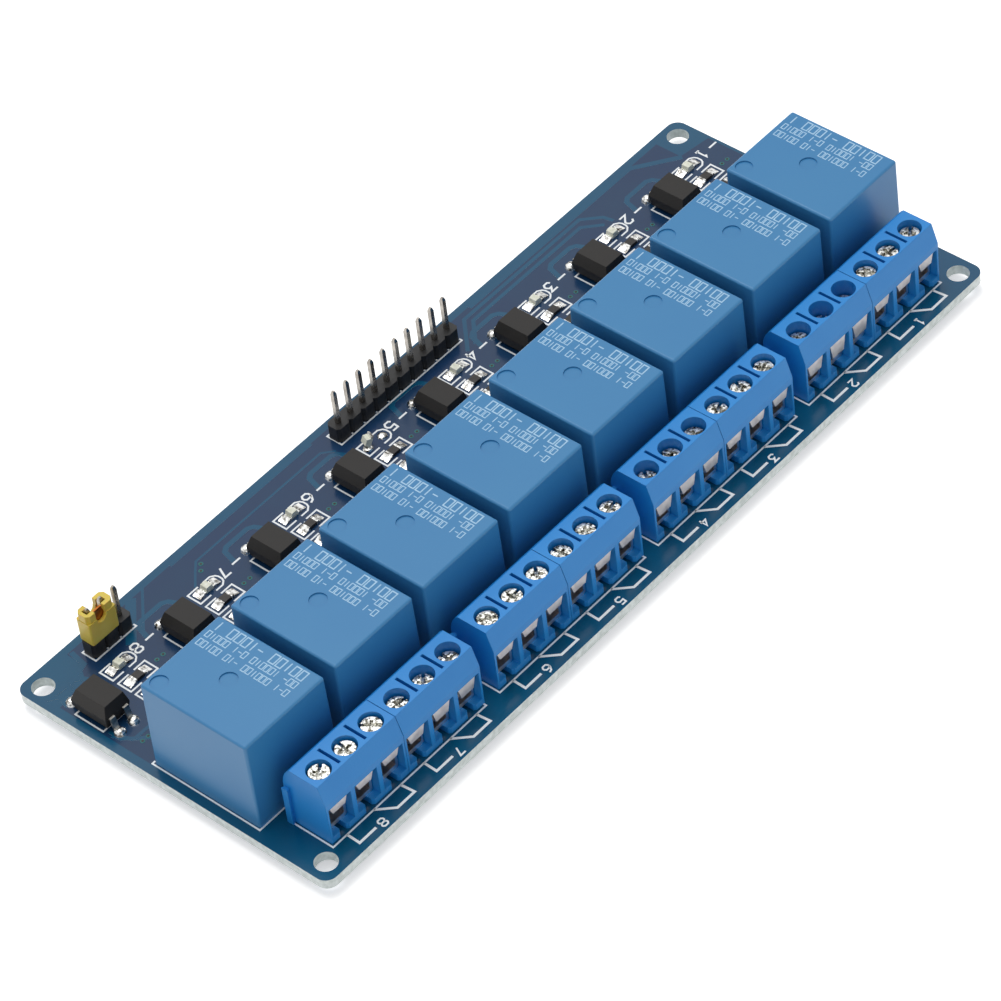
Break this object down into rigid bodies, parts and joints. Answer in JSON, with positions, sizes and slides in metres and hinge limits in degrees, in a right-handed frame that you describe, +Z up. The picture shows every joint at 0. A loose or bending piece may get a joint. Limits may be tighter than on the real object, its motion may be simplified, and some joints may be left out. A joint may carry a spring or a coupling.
{
  "type": "relay module board",
  "caption": "Long circuit board with a row of sealed relays, blue screw terminals in front, optocouplers, pin headers and a pull-off jumper behind.",
  "frame": {"origin": "bottom centre of the board's bounding box, at the level of the trimmed pin tips under the board", "axes": "+X along the board towards channel 1, -Y at the screw terminals, +Z up from the component side"},
  "size_m": [0.139, 0.0566, 0.0184],
  "materials": {
    "circuit_board": "blue solder mask over glass laminate",
    "relay_blue": "fine satin moulded plastic",
    "terminal_blue": "satin moulded plastic",
    "opto_black": "matt moulded epoxy",
    "tinned_pins": "dull tin plate",
    "nickel_plate": "nickel plate",
    "screw_steel": "bright plated steel",
    "header_black": "moulded nylon",
    "header_pins": "tin-plated square wire",
    "jumper_yellow": "moulded plastic",
    "clip_bronze": "phosphor bronze spring",
    "led_lens": "clear cream epoxy",
    "resistor_black": "glazed film",
    "chip_black": "moulded epoxy",
    "solder": "bright solder"
  },
  "bodies": {
    "board": {"circuit_board": "circuit_board", "relay_1": "relay_blue", "relay_2": "relay_blue", "relay_3": "relay_blue", "relay_4": "relay_blue", "relay_5": "relay_blue", "relay_6": "relay_blue", "relay_7": "relay_blue", "relay_8": "relay_blue", "terminal_housing_1": "terminal_blue", "terminal_housing_2": "terminal_blue", "terminal_housing_3": "terminal_blue", "terminal_housing_4": "terminal_blue", "terminal_housing_5": "terminal_blue", "terminal_housing_6": "terminal_blue", "terminal_housing_7": "terminal_blue", "terminal_housing_8": "terminal_blue", "optocoupler_1": "opto_black", "optocoupler_2": "opto_black", "optocoupler_3": "opto_black", "optocoupler_4": "opto_black", "optocoupler_5": "opto_black", "optocoupler_6": "opto_black", "optocoupler_7": "opto_black", "optocoupler_8": "opto_black", "relay_pins": "tinned_pins", "terminal_cages": "nickel_plate", "terminal_pins": "tinned_pins", "terminal_leaves": "nickel_plate", "terminal_screws": "screw_steel", "optocoupler_leads": "tinned_pins", "input_header_strip": "header_black", "input_header_pins": "header_pins", "supply_header_strip": "header_black", "supply_header_pins": "header_pins", "status_leds": "led_lens", "status_led_ends": "solder", "chip_resistors": "resistor_black", "chip_resistor_ends": "solder", "transistors": "chip_black", "transistor_leads": "tinned_pins", "diodes": "chip_black", "diode_tabs": "tinned_pins", "pin_solder_joints": "solder", "surface_solder_joints": "solder"},
    "jumper": {"jumper_cap": "jumper_yellow", "jumper_clip": "clip_bronze"}
  },
  "joints": [
    {"name": "jumper_slide", "type": "slide", "parent": "board", "child": "jumper", "axis": [0, 0, 1], "range_m": [0, 0.006]}
  ]
}
